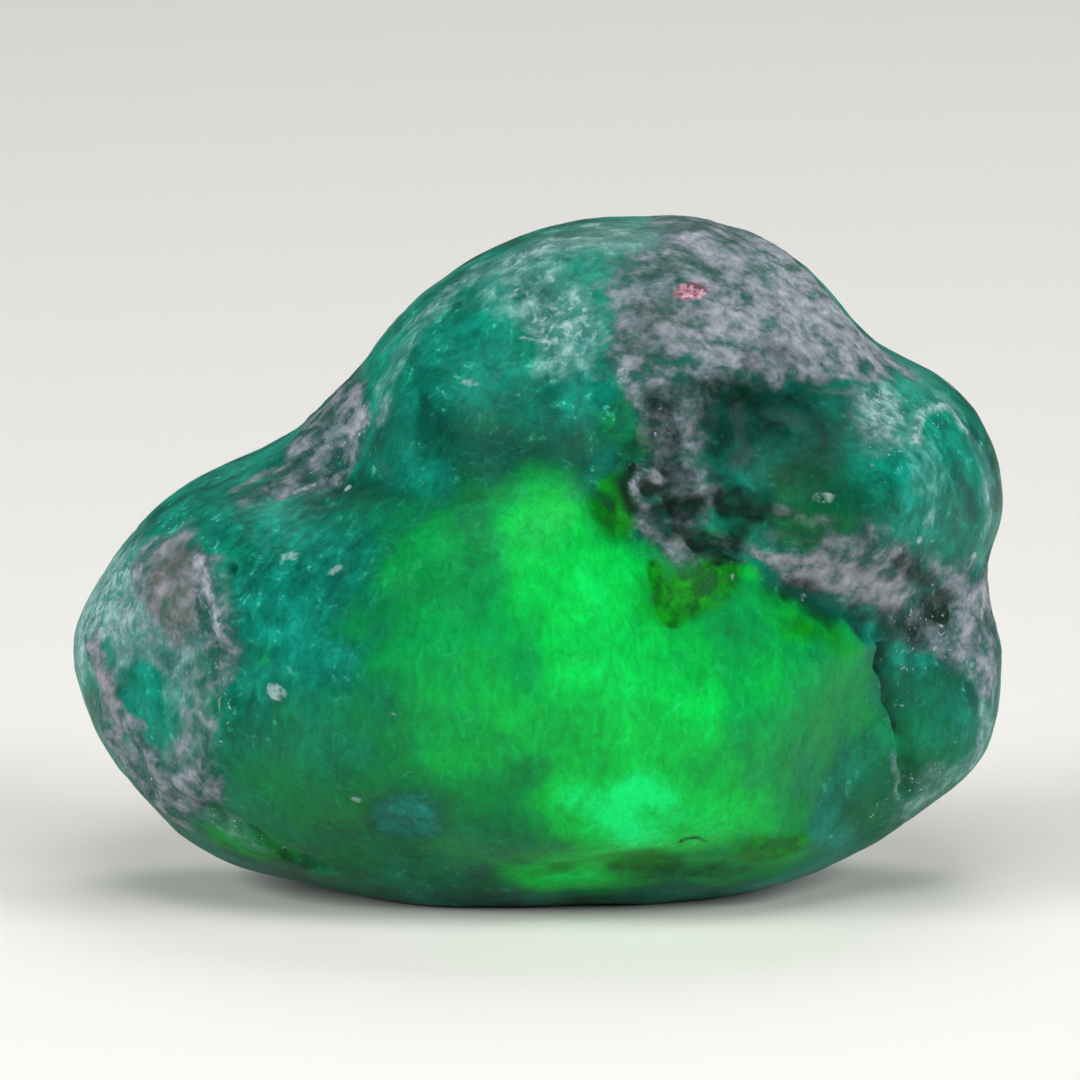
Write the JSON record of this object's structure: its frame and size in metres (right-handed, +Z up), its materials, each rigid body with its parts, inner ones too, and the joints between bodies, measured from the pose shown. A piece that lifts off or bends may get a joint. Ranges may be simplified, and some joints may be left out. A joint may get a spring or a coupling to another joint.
{
  "type": "emerald in matrix",
  "caption": "Tumbled pebble of green emerald crossed by a grey schist seam, with a worn flat underside that it rests on.",
  "frame": {"origin": "middle of the stone's width and depth, on the surface that it rests on", "axes": "+X to the right and +Z up in the front view, which looks along +Y; the longest side lies along X"},
  "size_m": [0.02, 0.0136, 0.0143],
  "materials": {
    "emerald": "satin, translucent",
    "schist": "rough, mica glitter"
  },
  "bodies": {
    "root": {"emerald": "emerald", "matrix_seam": "schist", "matrix_saddle": "schist", "matrix_left_end": "schist"}
  },
  "joints": []
}
